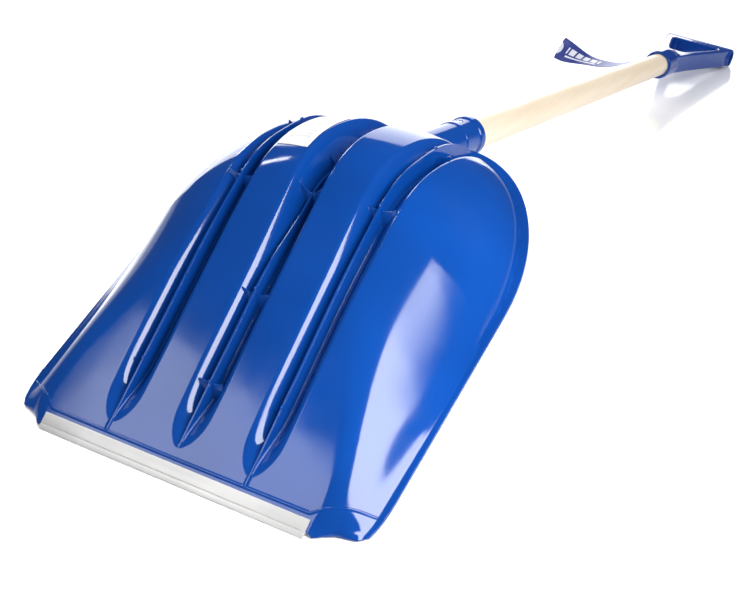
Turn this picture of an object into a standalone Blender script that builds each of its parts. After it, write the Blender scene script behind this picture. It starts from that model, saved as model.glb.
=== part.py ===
"""Snow shovel lying on its blade's open side, built as separate pieces.

The blade is one moulding: an arched shell with three long grooves, a stiffening rib in each
groove, cross webs, and a round socket. A metal strip is pushed on its front edge. A tapered
wooden shaft sits in the socket, with a D-shaped grip on its far end and a paper tag round it.
All lengths are in metres, +Y runs from the front edge to the grip, and +Z is up. The points
below are measured from the front edge, and the empty "shovel_frame" moves the whole object so
that its origin is the bottom centre of its box.
"""
import math

import bmesh
import bpy
from mathutils import Matrix, Vector

MM = 0.001

# Whole object
FRAME_SHIFT_Y = -694.213 * MM

# Front edge of the blade: a flat plate that climbs at this angle
PLATE_ANGLE = math.radians(40.5)
RIDGE_Y = 12.0 * MM
RIDGE_Z = 13.5 * MM
PLATE_FRONT = -14.7 * MM
PLATE_HALF_WIDTH = 148.5 * MM
SHELL_THICKNESS = 2.6 * MM

# Lengthwise profile of the panels: the plate, then an arc up to the crest, then an arc down
CREST_Y = 295.0 * MM
CREST_Z = 221.0 * MM
FRONT_ARC_RADIUS = 108.6 * MM
REAR_ARC_RADIUS = 178.0 * MM

# Rim: it lies in one sloping plane, with straight sides and elliptical rear corners
RIM_SLOPE = 0.4515
RIM_START_Y = 17.0 * MM
HALF_WIDTH = 196.0 * MM
CORNER_X = 60.0 * MM
CORNER_Y = 240.0 * MM
REAR_Y = 409.0 * MM

# Rounding of the shell between the panels and the rim
SIDE_ROOT_FRONT = 1.45
SIDE_ROOT_REAR = 0.667
BLEND_START_Y = 15.0 * MM
BLEND_END_Y = 300.0 * MM
FLANGE = 8.0 * MM

# Skirt of the two front corners, as (x, y) along the edge that touches the ground
LOBE_EDGE = ((148.5, 0.8), (152.0, 0.0), (159.0, 6.0), (167.0, 11.5), (177.0, 14.0),
             (185.0, 16.0), (191.0, 23.0), (194.5, 35.0), (196.0, 50.0))
LOBE_LIP = 2.6 * MM
LOBE_ROLL = 15.0 * MM

# Grooves
GROOVE_PITCH = 77.0 * MM
GROOVE_HALF_WIDTH = 19.5 * MM
GROOVE_TIP_Y = 20.0 * MM
GROOVE_FULL_WIDTH_Y = 46.0 * MM
GROOVE_FULL_DEPTH_Y = 80.0 * MM
GROOVE_DEPTH = 20.0 * MM
GROOVE_DEPTH_SHARE = 0.72

# Ribs and webs that stand in the grooves
RIB_THICKNESS = 2.4 * MM
RIB_SINK = 1.2 * MM
CENTRE_RIB_SINK = 29.0 * MM
WEB_THICKNESS = 2.0 * MM

# Shaft line: a straight line in the plane x = 0
SHAFT_SLOPE = 0.1372
SHAFT_REF_Y = 619.6 * MM
SHAFT_REF_Z = 125.0 * MM
SHAFT_ROOT_RADIUS = 18.9 * MM
SHAFT_TIP_RADIUS = 16.7 * MM
SHAFT_START_Y = 330.0 * MM
TAPER_START_Y = 537.0 * MM
TAPER_END_Y = 1169.0 * MM
SHAFT_END_Y = 1222.0 * MM
FIT_GAP = 0.3 * MM

# Socket
SOCKET_START_Y = 318.0 * MM
SOCKET_END_Y = 537.0 * MM
SOCKET_RADIUS = 21.6 * MM
SOCKET_RING_RADIUS = 22.6 * MM
SOCKET_RING_BACK = 40.0 * MM
SOCKET_SCREW_Y = 513.0 * MM

# Grip
GRIP_START_Y = 1169.0 * MM
GRIP_COLLAR_RADIUS = 21.6 * MM
GRIP_TWIST = math.radians(6.3)
GRIP_BAR_DISTANCE = 210.0 * MM
GRIP_BAR_RADIUS = 14.6 * MM
GRIP_BAR_BORE = 11.6 * MM
GRIP_BAR_HALF = 57.5 * MM
GRIP_ARM_HEIGHT = 27.0 * MM

# Wear strip on the front edge: (along the plate, above the plate)
STRIP_HALF_LENGTH = 145.7 * MM

# Screws: countersunk, through a moulding's wall into the wood
SCREW_HEAD_RADIUS = 3.8 * MM
SCREW_HEAD_THICKNESS = 1.6 * MM
SCREW_SHANK_RADIUS = 1.75 * MM
SCREW_SHANK_LENGTH = 14.0 * MM
SCREW_RECESS = 1.9 * MM
GRIP_SCREW_BACK = 22.0 * MM

# Paper pieces
PAPER_THICKNESS = 0.4 * MM
LABEL_X = (-57.5 * MM, -20.5 * MM)
LABEL_Y = (254.5 * MM, 330.0 * MM)
TAG_Y = 1110.0 * MM
TAG_WIDTH = 37.0 * MM
TAG_STUCK_FROM = math.radians(235.0)
TAG_STUCK_TO = math.radians(165.0)
# Free end of the tag: (x, z) of its middle line and how far its width stands up from level
TAG_PATH = ((-22.0, 66.0, 0.0), (-36.0, 61.0, 2.0), (-52.0, 57.0, 5.0), (-70.0, 56.0, 8.0),
            (-88.0, 57.0, 12.0), (-101.0, 58.5, 20.0), (-114.0, 61.5, 34.0), (-127.0, 65.5, 52.0),
            (-140.0, 70.5, 70.0))


def plate_point(along, above):
    """World (y, z) of a point given along the front plate and square to it."""
    y = RIDGE_Y + along * math.cos(PLATE_ANGLE) - above * math.sin(PLATE_ANGLE)
    z = RIDGE_Z + along * math.sin(PLATE_ANGLE) + above * math.cos(PLATE_ANGLE)
    return y, z


def crest_profile(y):
    """Height of the panels above the ground, along the middle of the blade."""
    tangent_y = CREST_Y - FRONT_ARC_RADIUS * math.sin(PLATE_ANGLE)
    if y < tangent_y:
        return RIDGE_Z + (y - RIDGE_Y) * math.tan(PLATE_ANGLE)
    radius = FRONT_ARC_RADIUS if y < CREST_Y else REAR_ARC_RADIUS
    return CREST_Z - radius + math.sqrt(radius ** 2 - (y - CREST_Y) ** 2)


def rim_height(y):
    return max(0.0, RIM_SLOPE * (y - RIM_START_Y))


def half_outline(y, inset=0.0):
    """Half the width of the rim at y, or of a line that runs inside it by the inset."""
    reach = HALF_WIDTH - inset - CORNER_X
    if y <= CORNER_Y:
        return CORNER_X + reach
    share = min(1.0, (y - CORNER_Y) / (REAR_Y - inset - CORNER_Y))
    return CORNER_X + reach * math.sqrt(1.0 - share ** 2)


def rear_edge(x):
    """Where the rim's rear edge is, for a place across the blade."""
    across = max(0.0, abs(x) - CORNER_X) / (HALF_WIDTH - CORNER_X)
    return CORNER_Y + (REAR_Y - CORNER_Y) * math.sqrt(max(0.0, 1.0 - across ** 2))


def front_edge(x):
    """Where the front edge is, for a place across the blade."""
    if abs(x) <= PLATE_HALF_WIDTH:
        return plate_point(PLATE_FRONT, 0.0)[0]
    for (x0, y0), (x1, y1) in zip(LOBE_EDGE, LOBE_EDGE[1:]):
        if abs(x) <= x1 * MM + 1e-6:
            share = (abs(x) / MM - x0) / (x1 - x0)
            return (y0 + (y1 - y0) * share) * MM
    return LOBE_EDGE[-1][1] * MM


def smooth(value, start, end):
    share = min(1.0, max(0.0, (value - start) / (end - start)))
    return share * share * (3.0 - 2.0 * share)


def dome_height(x, y):
    """Height of the blade's outer surface with its grooves filled in."""
    blend = smooth(y, BLEND_START_Y, BLEND_END_Y)
    root = SIDE_ROOT_FRONT + (SIDE_ROOT_REAR - SIDE_ROOT_FRONT) * min(1.0, 1.25 * blend)
    flat = PLATE_HALF_WIDTH * (1.0 - blend)
    across = max(0.0, abs(x) - flat) / (half_outline(y, FLANGE) - flat)
    base = max(rim_height(y), LOBE_LIP * smooth(abs(x), PLATE_HALF_WIDTH, PLATE_HALF_WIDTH + 2.0 * MM))
    height = max(0.0, crest_profile(y) - base)
    dome = base + height * max(0.0, 1.0 - across ** 2) ** root
    if abs(x) > PLATE_HALF_WIDTH:
        inside = min(1.0, max(0.0, (y - front_edge(x)) / LOBE_ROLL))
        lift = math.sqrt(1.0 - (1.0 - inside) ** 2)
        side = smooth(abs(x), PLATE_HALF_WIDTH, PLATE_HALF_WIDTH + 4.0 * MM)
        dome = dome * (1.0 - side) + (base + (dome - base) * lift) * side
    return dome


def groove_depth(x, y):
    """How far the grooves sink the surface below the dome."""
    if y <= GROOVE_TIP_Y:
        return 0.0
    opening = min(1.0, (y - GROOVE_TIP_Y) / (GROOVE_FULL_WIDTH_Y - GROOVE_TIP_Y))
    half = GROOVE_HALF_WIDTH * math.sqrt(1.0 - (1.0 - opening) ** 2)
    near = min(abs(x - centre) for centre in (-GROOVE_PITCH, 0.0, GROOVE_PITCH))
    if near >= half:
        return 0.0
    flat = 0.2
    across = max(0.0, (near / half - flat) / (1.0 - flat))
    shape = 0.5 + 0.5 * math.cos(math.pi * across)
    deep = GROOVE_DEPTH * smooth(y, GROOVE_TIP_Y - 6.0 * MM, GROOVE_FULL_DEPTH_Y)
    room = GROOVE_DEPTH_SHARE * (dome_height(x, y) - rim_height(y))
    return shape * min(deep, room)


def blade_height(x, y):
    return dome_height(x, y) - groove_depth(x, y)


def shaft_height(y):
    return SHAFT_REF_Z - SHAFT_SLOPE * (y - SHAFT_REF_Y)


def shaft_matrix(y, twist=0.0):
    """Frame at a point of the shaft line: local +Z runs along it to the grip, local +X is across."""
    tilt = Matrix.Rotation(math.atan(SHAFT_SLOPE), 4, (-1.0, 0.0, 0.0))
    turn = Matrix.Rotation(twist, 4, "Y")
    lay = Matrix.Rotation(math.radians(-90.0), 4, "X")
    return Matrix.Translation((0.0, y, shaft_height(y))) @ tilt @ turn @ lay


def clear_scene():
    for thing in list(bpy.data.objects):
        bpy.data.objects.remove(thing, do_unlink=True)


def new_collection(name):
    group = bpy.data.collections.new(name)
    bpy.context.scene.collection.children.link(group)
    return group


def new_material(name, colour, roughness, metallic=0.0):
    material = bpy.data.materials.new(name)
    material.use_nodes = True
    shader = material.node_tree.nodes["Principled BSDF"]
    shader.inputs["Base Color"].default_value = (*colour, 1.0)
    shader.inputs["Roughness"].default_value = roughness
    shader.inputs["Metallic"].default_value = metallic
    return material


def add_object(name, mesh, group, frame, material=None):
    piece = bpy.data.objects.new(name, mesh)
    group.objects.link(piece)
    piece.parent = frame
    if material:
        mesh.materials.append(material)
    return piece


def add_cutter(name, mesh, group, frame):
    piece = add_object(name, mesh, group, frame)
    piece.hide_render = True
    piece.display_type = "WIRE"
    return piece


def boolean(piece, tool, operation):
    """Join or cut with another solid, then merge the slivers that the crossing leaves."""
    step = piece.modifiers.new(operation.lower() + "_" + tool.name, "BOOLEAN")
    step.object = tool
    step.operation = operation
    step.solver = "EXACT"
    tidy = piece.modifiers.new("tidy_" + tool.name, "WELD")
    tidy.merge_threshold = 0.00003


def flat_outline_mesh(name, points, thickness):
    """Mesh of a closed outline in the XY plane, thickened evenly about it."""
    curve = bpy.data.curves.new(name, "CURVE")
    curve.dimensions = "2D"
    curve.fill_mode = "BOTH"
    curve.extrude = thickness / 2.0
    spline = curve.splines.new("POLY")
    spline.points.add(len(points) - 1)
    for point, (x, y) in zip(spline.points, points):
        point.co = (x, y, 0.0, 1.0)
    spline.use_cyclic_u = True
    holder = bpy.data.objects.new(name + "_curve", curve)
    bpy.context.scene.collection.objects.link(holder)
    bpy.context.view_layer.update()
    graph = bpy.context.evaluated_depsgraph_get()
    mesh = bpy.data.meshes.new_from_object(holder.evaluated_get(graph))
    bpy.data.objects.remove(holder, do_unlink=True)
    work = bmesh.new()
    work.from_mesh(mesh)
    bmesh.ops.remove_doubles(work, verts=work.verts, dist=0.00001)
    bmesh.ops.recalc_face_normals(work, faces=work.faces)
    work.to_mesh(mesh)
    work.free()
    return mesh


def side_plate_mesh(name, outline_yz, thickness, x=0.0):
    """A plate that stands along the blade: its outline is in (y, z)."""
    mesh = flat_outline_mesh(name, outline_yz, thickness)
    stand = Matrix(((0, 0, 1, x), (1, 0, 0, 0), (0, 1, 0, 0), (0, 0, 0, 1)))
    mesh.transform(stand)
    return mesh


def turned_mesh(name, profile, sides=32):
    """Solid of revolution about Z from (radius, z) points that end on the axis or close up."""
    work = bmesh.new()
    corners = [work.verts.new((radius, 0.0, z)) for radius, z in profile]
    edges = [work.edges.new(pair) for pair in zip(corners, corners[1:])]
    bmesh.ops.spin(work, geom=corners + edges, cent=(0, 0, 0), axis=(0, 0, 1),
                   angle=math.tau, steps=sides, use_merge=True, use_duplicate=False)
    bmesh.ops.remove_doubles(work, verts=work.verts, dist=0.00001)
    bmesh.ops.recalc_face_normals(work, faces=work.faces)
    mesh = bpy.data.meshes.new(name)
    work.to_mesh(mesh)
    work.free()
    return mesh


def shade(mesh, angle=35.0):
    mesh.shade_smooth()
    mesh.set_sharp_from_angle(angle=math.radians(angle))


def column_stations():
    """Places across the blade where the shell's mesh has a column of points."""
    stations = {0.0}
    for groove in (0.0, GROOVE_PITCH):
        for offset in (4.0, 9.5, 14.0, 19.5):
            stations.add(groove + offset * MM)
            if groove:
                stations.add(groove - offset * MM)
    stations |= {x * MM for x in (38.5, 77.0, 112.0, 128.0, 141.0, 148.5, 152.0, 159.0, 167.0,
                                  175.0, 183.0, 189.0, 193.5, 196.0)}
    return sorted({-x for x in stations} | stations)


def row_stations():
    """Shares of the way from the front edge to the rear edge with a row of points."""
    rows = (0.8, 7.0, 14.0, 20.0, 27.0, 36.0, 47.0, 62.0, 80.0, 105.0, 135.0, 165.0, 195.0, 222.0,
            240.0, 258.0, 276.0, 294.0, 312.0, 330.0, 347.0, 363.0, 377.0, 389.0, 398.0, 404.5, 409.0)
    first, last = rows[0], rows[-1]
    return [(row - first) / (last - first) for row in rows]


def shell_mesh():
    """Outer surface of the blade: a grid laid on the dome with its grooves."""
    columns = column_stations()
    rows = row_stations()
    work = bmesh.new()
    bmesh.ops.create_grid(work, x_segments=len(columns) - 1, y_segments=len(rows) - 1, size=0.5)
    for vertex in work.verts:
        x = columns[round((vertex.co.x + 0.5) * (len(columns) - 1))]
        share = rows[round((vertex.co.y + 0.5) * (len(rows) - 1))]
        y = front_edge(x) + share * (rear_edge(x) - front_edge(x))
        vertex.co = (x, y, blade_height(x, y))
    mesh = bpy.data.meshes.new("blade")
    work.to_mesh(mesh)
    work.free()
    return mesh


def sampled(start, end, count):
    return [start + (end - start) * step / (count - 1) for step in range(count)]


def rib_outline(x):
    """Side outline of the rib in one groove: its top follows the dome, its foot the groove."""
    start = RIDGE_Y
    end = rear_edge(x) - 9.0 * MM
    top = []
    foot = []
    for y in sampled(start, end, 22):
        sink = RIB_SINK * smooth(y, start, start + 20.0 * MM)
        if x == 0.0:
            sink += CENTRE_RIB_SINK * smooth(y, 135.0 * MM, 290.0 * MM)
        floor = blade_height(x, y) - 1.2 * MM
        if x == 0.0 and y > SOCKET_START_Y:
            floor = max(floor, shaft_height(y) + SOCKET_RADIUS - 1.2 * MM)
        top.append((y, max(dome_height(x, y) + 0.8 * MM - sink, floor + 1.6 * MM)))
        foot.append((y, floor))
    return top + foot[::-1]


def socket_profile():
    """Half profile of the socket's outside, from its closed front to its open end."""
    length = (SOCKET_END_Y - SOCKET_START_Y) * math.hypot(1.0, SHAFT_SLOPE)
    ring = length - SOCKET_RING_BACK
    rise = 1.0 * MM
    return ((0.0, 0.0), (SOCKET_RADIUS - 3.0 * MM, 0.0), (SOCKET_RADIUS, 3.0 * MM),
            (SOCKET_RADIUS, ring), (SOCKET_RING_RADIUS, ring + rise),
            (SOCKET_RING_RADIUS, ring + 3.0 * rise), (SOCKET_RADIUS, ring + 4.0 * rise),
            (SOCKET_RADIUS, length - 6.0 * MM), (SOCKET_RING_RADIUS, length - 5.0 * MM),
            (SOCKET_RING_RADIUS, length), (0.0, length))


def make_blade(parts, tools, frame, material):
    blade = add_object("blade", shell_mesh(), parts, frame, material)
    shell = blade.modifiers.new("thickness", "SOLIDIFY")
    shell.thickness = SHELL_THICKNESS
    shell.offset = -1.0
    socket = turned_mesh("socket", socket_profile(), 28)
    socket.transform(shaft_matrix(SOCKET_START_Y))
    boolean(blade, add_cutter("socket", socket, tools, frame), "UNION")
    reach = 300.0 * MM
    bore_radius = SHAFT_ROOT_RADIUS + FIT_GAP
    bore = turned_mesh("bore", ((0.0, 0.0), (bore_radius, 0.0), (bore_radius, reach), (0.0, reach)), 28)
    bore.transform(shaft_matrix(SHAFT_START_Y - FIT_GAP))
    boolean(blade, add_cutter("bore", bore, tools, frame), "DIFFERENCE")
    for index, x in enumerate((-GROOVE_PITCH, 0.0, GROOVE_PITCH)):
        mesh = side_plate_mesh("rib_%d" % index, rib_outline(x), RIB_THICKNESS, x)
        boolean(blade, add_cutter("rib_%d" % index, mesh, tools, frame), "UNION")
    hole = screw_hole("socket_screw_hole", screw_matrix(SOCKET_SCREW_Y), SOCKET_RADIUS, tools, frame)
    boolean(blade, hole, "DIFFERENCE")
    return blade, hole


def screw_matrix(y, twist=0.0, upward=True):
    """Frame on the shaft line with local +Z pointing out of the shaft, up or down."""
    side = math.radians(90.0 if upward else -90.0)
    return shaft_matrix(y, twist) @ Matrix.Rotation(side, 4, "X")


def make_screw(name, place, surface_radius, parts, frame, material):
    """Countersunk screw whose head is sunk in a recess of the moulding's surface."""
    top = surface_radius - SCREW_RECESS + SCREW_HEAD_THICKNESS
    under = top - SCREW_HEAD_THICKNESS + 0.35 * MM
    tip = under - SCREW_SHANK_LENGTH
    shank = SCREW_SHANK_RADIUS
    profile = ((0.0, tip), (shank, tip + 3.0 * MM), (shank, under), (SCREW_HEAD_RADIUS, under),
               (SCREW_HEAD_RADIUS, top - 0.3 * MM), (SCREW_HEAD_RADIUS - 0.8 * MM, top), (0.0, top))
    mesh = turned_mesh(name, profile, 20)
    mesh.transform(place)
    shade(mesh)
    return add_object(name, mesh, parts, frame, material)


def screw_hole(name, place, surface_radius, tools, frame):
    """Cutter for the recess of a screw's head and for its shank."""
    wide = SCREW_HEAD_RADIUS + FIT_GAP
    narrow = SCREW_SHANK_RADIUS + FIT_GAP
    floor = surface_radius - SCREW_RECESS
    bottom = floor - SCREW_SHANK_LENGTH - FIT_GAP
    above = surface_radius + 4.0 * MM
    profile = ((0.0, bottom), (narrow, bottom), (narrow, floor), (wide, floor), (wide, above), (0.0, above))
    mesh = turned_mesh(name, profile, 20)
    mesh.transform(place)
    return add_cutter(name, mesh, tools, frame)


def make_label(parts, frame, material):
    """Paper sticker that follows the top of one panel."""
    work = bmesh.new()
    bmesh.ops.create_grid(work, x_segments=6, y_segments=16, size=0.5)
    for vertex in work.verts:
        x = LABEL_X[0] + (vertex.co.x + 0.5) * (LABEL_X[1] - LABEL_X[0])
        y = LABEL_Y[0] + (vertex.co.y + 0.5) * (LABEL_Y[1] - LABEL_Y[0])
        vertex.co = (x, y, dome_height(x, y) + 2.0 * FIT_GAP)
    mesh = bpy.data.meshes.new("barcode_label")
    work.to_mesh(mesh)
    work.free()
    label = add_object("barcode_label", mesh, parts, frame, material)
    sheet = label.modifiers.new("paper", "SOLIDIFY")
    sheet.thickness = PAPER_THICKNESS
    sheet.offset = 1.0
    return label


def tag_stations():
    """Cross lines of the tag: (x, z of the middle, standing angle), from the stuck end outwards."""
    radius = SHAFT_TIP_RADIUS + 1.4 * MM
    centre = shaft_height(TAG_Y)
    lines = []
    for angle in sampled(TAG_STUCK_FROM, TAG_STUCK_TO, 8):
        lines.append((radius * math.cos(angle), centre + radius * math.sin(angle), 0.0))
    for x, z, stand in TAG_PATH:
        lines.append((x * MM, z * MM, math.radians(stand)))
    return lines


def make_tag(parts, frame, material):
    """Paper strip: one end is stuck on the shaft's side, the other stands free and curls up."""
    lines = tag_stations()
    work = bmesh.new()
    bmesh.ops.create_grid(work, x_segments=len(lines) - 1, y_segments=4, size=0.5)
    for vertex in work.verts:
        x, z, stand = lines[round((vertex.co.x + 0.5) * (len(lines) - 1))]
        across = vertex.co.y * TAG_WIDTH
        y = TAG_Y + across * math.cos(stand)
        lean = across * math.sin(stand)
        fall = -SHAFT_SLOPE * across * math.cos(stand)
        vertex.co = (x + 0.35 * lean, y, z + 0.94 * lean + fall)
    mesh = bpy.data.meshes.new("warranty_tag")
    work.to_mesh(mesh)
    work.free()
    tag = add_object("warranty_tag", mesh, parts, frame, material)
    sheet = tag.modifiers.new("paper", "SOLIDIFY")
    sheet.thickness = PAPER_THICKNESS
    sheet.offset = 0.0
    return tag


def make_wear_strip(parts, frame, material):
    """Extruded strip: a top leg with a fold, a nose that is flat underneath, and a lower leg."""
    nose_flat = 2.5 * MM
    gap = FIT_GAP
    under = -SHELL_THICKNESS - gap
    outline = [plate_point(-4.2 * MM, 1.5 * MM), plate_point(-15.3 * MM, 0.9 * MM),
               (-4.0 * MM, 0.8 * MM), (-3.4 * MM, 0.0), (nose_flat, 0.0),
               plate_point(-6.0 * MM, -4.1 * MM), plate_point(-6.0 * MM, under),
               plate_point(PLATE_FRONT - gap, under), plate_point(PLATE_FRONT - gap, gap),
               plate_point(-4.2 * MM, gap)]
    mesh = side_plate_mesh("wear_strip", outline, 2.0 * STRIP_HALF_LENGTH)
    return add_object("wear_strip", mesh, parts, frame, material)


def make_shaft(parts, frame, material, holes):
    stretch = math.hypot(1.0, SHAFT_SLOPE)
    taper_start = (TAPER_START_Y - SHAFT_START_Y) * stretch
    taper_end = (TAPER_END_Y - SHAFT_START_Y) * stretch
    end = (SHAFT_END_Y - SHAFT_START_Y) * stretch
    chamfer = 1.5 * MM
    profile = ((0.0, 0.0), (SHAFT_ROOT_RADIUS - chamfer, 0.0), (SHAFT_ROOT_RADIUS, chamfer),
               (SHAFT_ROOT_RADIUS, taper_start), (SHAFT_TIP_RADIUS, taper_end),
               (SHAFT_TIP_RADIUS, end - chamfer), (SHAFT_TIP_RADIUS - chamfer, end), (0.0, end))
    mesh = turned_mesh("shaft", profile, 28)
    mesh.transform(shaft_matrix(SHAFT_START_Y))
    shade(mesh)
    shaft = add_object("shaft", mesh, parts, frame, material)
    for hole in holes:
        boolean(shaft, hole, "DIFFERENCE")
    return shaft


def grip_outline(outset):
    """Half outline of the grip's arms, as (across, along) points from the collar to the bar."""
    half = ((16.0, 30.0), (18.5, 50.0), (24.0, 80.0), (33.0, 118.0), (42.5, 155.0), (50.5, 188.0),
            (54.0, 210.0))
    return [((across + outset) * MM, along * MM) for across, along in half]


def mirrored(half):
    return half + [(-x, y) for x, y in reversed(half)]


def make_grip(parts, tools, frame, material):
    """D-shaped grip: a collar, two flat arms, and a hollow bar that is open at one end."""
    place = shaft_matrix(GRIP_START_Y, GRIP_TWIST)
    lay_flat = Matrix.Rotation(math.radians(90.0), 4, "X")
    arms = flat_outline_mesh("grip", mirrored(grip_outline(1.5)), GRIP_ARM_HEIGHT)
    arms.transform(place @ lay_flat)
    grip = add_object("grip", arms, parts, frame, material)
    collar_profile = ((0.0, 0.0), (GRIP_COLLAR_RADIUS - 1.0 * MM, 0.0), (GRIP_COLLAR_RADIUS, 1.0 * MM),
                      (GRIP_COLLAR_RADIUS, 34.0 * MM), (18.5 * MM, 58.0 * MM), (8.0 * MM, 70.0 * MM),
                      (0.0, 72.0 * MM))
    collar = turned_mesh("grip_collar", collar_profile, 28)
    collar.transform(place)
    boolean(grip, add_cutter("grip_collar", collar, tools, frame), "UNION")
    along_bar = place @ Matrix.Translation((0.0, 0.0, GRIP_BAR_DISTANCE))
    along_bar = along_bar @ Matrix.Rotation(math.radians(90.0), 4, "Y")
    half = GRIP_BAR_HALF
    radius = GRIP_BAR_RADIUS
    edge = 1.5 * MM
    bar_profile = ((0.0, -half), (radius - edge, -half), (radius, -half + edge),
                   (radius, half - edge), (radius - edge, half), (0.0, half))
    bar = turned_mesh("grip_bar", bar_profile, 28)
    bar.transform(along_bar)
    boolean(grip, add_cutter("grip_bar", bar, tools, frame), "UNION")
    hole_half = [(5.0 * MM, 85.0 * MM), (13.0 * MM, 89.0 * MM), (23.0 * MM, 120.0 * MM),
                 (33.5 * MM, 158.0 * MM), (39.0 * MM, 182.0 * MM), (36.0 * MM, 191.0 * MM)]
    hole = flat_outline_mesh("hand_hole", mirrored(hole_half), 2.0 * GRIP_ARM_HEIGHT)
    hole.transform(place @ lay_flat)
    boolean(grip, add_cutter("hand_hole", hole, tools, frame), "DIFFERENCE")
    bore_profile = ((0.0, -half + 4.0 * MM), (GRIP_BAR_BORE, -half + 4.0 * MM),
                    (GRIP_BAR_BORE, half + 5.0 * MM), (0.0, half + 5.0 * MM))
    bore = turned_mesh("bar_bore", bore_profile, 28)
    bore.transform(along_bar)
    boolean(grip, add_cutter("bar_bore", bore, tools, frame), "DIFFERENCE")
    seat_radius = SHAFT_TIP_RADIUS + FIT_GAP
    depth = (SHAFT_END_Y - GRIP_START_Y) * math.hypot(1.0, SHAFT_SLOPE) + FIT_GAP
    seat = turned_mesh("shaft_seat", ((0.0, -5.0 * MM), (seat_radius, -5.0 * MM), (seat_radius, depth),
                                      (0.0, depth)), 28)
    seat.transform(place)
    boolean(grip, add_cutter("shaft_seat", seat, tools, frame), "DIFFERENCE")
    place = screw_matrix(GRIP_START_Y + GRIP_SCREW_BACK, GRIP_TWIST, False)
    hole = screw_hole("grip_screw_hole", place, GRIP_COLLAR_RADIUS, tools, frame)
    boolean(grip, hole, "DIFFERENCE")
    return grip, hole


def main():
    clear_scene()
    parts = new_collection("snow_shovel")
    tools = new_collection("cutters")
    frame = bpy.data.objects.new("shovel_frame", None)
    frame.location = (0.0, FRAME_SHIFT_Y, 0.0)
    parts.objects.link(frame)
    blue = (0.03, 0.12, 0.55)
    steel = new_material("screw_steel", (0.6, 0.61, 0.63), 0.35, 1.0)
    blade, socket_hole = make_blade(parts, tools, frame, new_material("blade_plastic", blue, 0.2))
    grip, grip_hole = make_grip(parts, tools, frame, new_material("grip_plastic", blue, 0.25))
    make_wear_strip(parts, frame, new_material("strip_aluminium", (0.85, 0.86, 0.87), 0.3, 1.0))
    make_shaft(parts, frame, new_material("shaft_wood", (0.86, 0.71, 0.52), 0.5),
               (socket_hole, grip_hole))
    make_screw("socket_screw", screw_matrix(SOCKET_SCREW_Y), SOCKET_RADIUS, parts, frame, steel)
    make_screw("grip_screw", screw_matrix(GRIP_START_Y + GRIP_SCREW_BACK, GRIP_TWIST, False),
               GRIP_COLLAR_RADIUS, parts, frame, steel)
    make_label(parts, frame, new_material("label_paper", (0.9, 0.9, 0.88), 0.6))
    make_tag(parts, frame, new_material("tag_paper", (0.05, 0.12, 0.42), 0.5))
    for piece in (blade, grip):
        shade(piece.data)


main()
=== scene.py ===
import math

import bmesh
import bpy
from mathutils import Matrix, Vector


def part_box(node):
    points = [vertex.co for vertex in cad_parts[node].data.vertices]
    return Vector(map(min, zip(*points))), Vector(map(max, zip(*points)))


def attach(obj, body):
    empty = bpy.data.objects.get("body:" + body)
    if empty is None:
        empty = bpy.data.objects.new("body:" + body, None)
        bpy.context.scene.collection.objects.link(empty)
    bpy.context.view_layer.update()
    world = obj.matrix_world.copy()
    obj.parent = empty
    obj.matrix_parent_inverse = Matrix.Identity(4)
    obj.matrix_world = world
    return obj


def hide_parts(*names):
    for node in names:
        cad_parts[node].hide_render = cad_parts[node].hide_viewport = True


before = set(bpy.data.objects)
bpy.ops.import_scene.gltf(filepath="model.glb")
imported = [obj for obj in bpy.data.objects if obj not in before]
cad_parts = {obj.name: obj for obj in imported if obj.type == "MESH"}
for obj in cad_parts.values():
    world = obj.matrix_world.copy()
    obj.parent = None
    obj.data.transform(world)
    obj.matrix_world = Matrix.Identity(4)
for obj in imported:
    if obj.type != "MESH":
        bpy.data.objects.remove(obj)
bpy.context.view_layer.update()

MM = 0.001

# The scoop is described from its front edge in y; SHIFT_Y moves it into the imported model's frame.
SHIFT_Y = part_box("wear_strip")[0].y + 4.0 * MM
PLATE_ANGLE = math.radians(40.5)
RIDGE_Y = 12.0 * MM
RIDGE_Z = 13.5 * MM
PLATE_FRONT = -14.7 * MM
PLATE_HALF_WIDTH = 148.5 * MM
WALL = 2.4 * MM
CREST_Y = 295.0 * MM
CREST_Z = 221.0 * MM
FRONT_ARC = 108.6 * MM
REAR_ARC = 178.0 * MM
RIM_SLOPE = 0.4515
RIM_START_Y = 17.0 * MM
HALF_WIDTH = 196.0 * MM
CORNER_X = 60.0 * MM
CORNER_Y = 240.0 * MM
REAR_Y = 409.0 * MM
SIDE_ROOT_FRONT = 1.45
SIDE_ROOT_REAR = 0.667
BLEND_START_Y = 15.0 * MM
BLEND_END_Y = 300.0 * MM
# Front corner lobes and the step ridge, as (x, y) points in millimetres.
LOBE_EDGE = ((148.5, 0.8), (152.0, 0.0), (159.0, 6.0), (167.0, 11.5), (177.0, 14.0),
             (185.0, 16.0), (191.0, 23.0), (194.5, 35.0), (196.0, 50.0))
RIDGE_PATH = ((0.0, 12.0), (142.7, 12.4), (152.6, 18.0), (161.9, 23.0), (170.0, 28.0),
              (180.0, 34.0), (190.0, 39.4), (196.0, 42.0))
LOBE_ROLL = 15.0 * MM
LOBE_LIP = 1.6 * MM
RIDGE_HEIGHT = 0.55 * MM
RIDGE_HALF_WIDTH = 1.1 * MM
GROOVES = (-77.0 * MM, 0.0, 77.0 * MM)
GROOVE_HALF_WIDTH = 19.5 * MM
GROOVE_TIP_Y = 20.0 * MM
GROOVE_FULL_WIDTH_Y = 46.0 * MM
GROOVE_FULL_DEPTH_Y = 80.0 * MM
GROOVE_DEPTH = 20.0 * MM
CENTRE_GROOVE_EXTRA = 15.0 * MM
GROOVE_DEPTH_SHARE = 0.72
RIB_END_BACK = 9.0 * MM
WEB_THICKNESS = 0.9 * MM
SHAFT_SLOPE = 0.1372
SHAFT_REF_Y = 619.6 * MM
SHAFT_REF_Z = 125.0 * MM
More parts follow.
